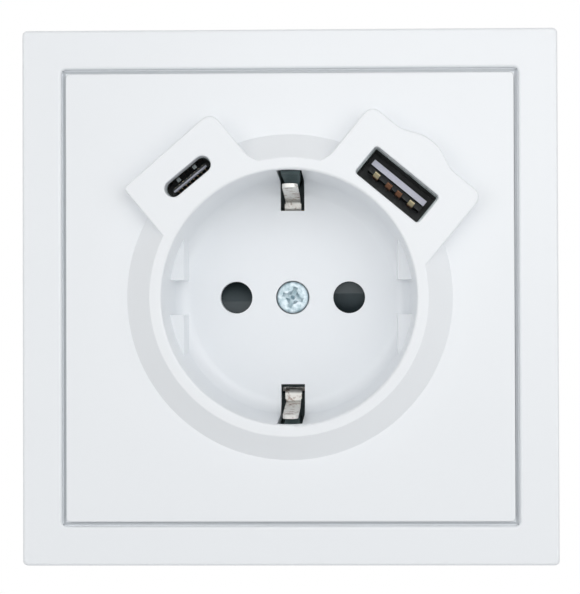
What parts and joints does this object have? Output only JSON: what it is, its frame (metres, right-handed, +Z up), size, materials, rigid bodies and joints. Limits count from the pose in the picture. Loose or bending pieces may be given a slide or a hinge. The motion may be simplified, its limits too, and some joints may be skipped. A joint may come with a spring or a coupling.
{
  "type": "usb wall socket",
  "caption": "Square flush wall socket with a round plug recess, side guides, earth clips, shuttered pin holes, and USB-A and USB-C ports in raised ears of its collar.",
  "frame": {"origin": "centre of the wall box screw slots, on the wall plane", "axes": "-Y out of the wall into the room, +Z up, +X to the right seen from the room"},
  "size_m": [0.086, 0.0459, 0.086],
  "materials": {
    "white_plastic": "satin moulded",
    "base_plastic": "fine moulded",
    "dark_plastic": "moulded",
    "zinc_steel": "blue passivated zinc",
    "galvanised_steel": "galvanised sheet",
    "spring_steel": "drawn wire",
    "nickel_brass": "nickel plated",
    "brass": "stamped",
    "port_steel": "nickel plated sheet",
    "port_insulator": "moulded",
    "gold_contact": "gold plated",
    "circuit_board": "solder mask",
    "transformer_core": "ferrite with yellow tape",
    "capacitor_can": "shrink sleeve",
    "header_plastic": "moulded"
  },
  "bodies": {
    "base": {"cover_frame": "white_plastic", "centre_plate": "white_plastic", "centre_screw": "zinc_steel", "mounting_plate": "galvanised_steel", "base_housing": "base_plastic", "rear_cover": "base_plastic", "cover_screws": "zinc_steel", "plate_screws": "zinc_steel", "terminal_screws": "zinc_steel", "shutter_spring": "spring_steel", "earth_bow": "nickel_brass", "live_contact": "brass", "neutral_contact": "brass", "live_terminal": "brass", "neutral_terminal": "brass", "earth_terminal": "brass", "usb_a_shell": "port_steel", "usb_a_tongue": "port_insulator", "usb_a_contacts": "gold_contact", "usb_c_shell": "port_steel", "usb_c_tongue": "port_insulator", "usb_c_contacts": "gold_contact", "port_board": "circuit_board", "power_board": "circuit_board", "transformer": "transformer_core", "input_capacitor": "capacitor_can", "output_capacitor": "capacitor_can", "board_link": "header_plastic"},
    "shutter": {"shutter": "dark_plastic"}
  },
  "joints": [
    {"name": "shutter_turn", "type": "hinge", "parent": "base", "child": "shutter", "pos_m": [0, 0.0085, 0], "axis": [0, -1, 0], "range_deg": [0, 40], "stiffness_Nm_per_rad": 0.002, "springref_deg": -34.38, "deforming": ["shutter_spring"]}
  ]
}
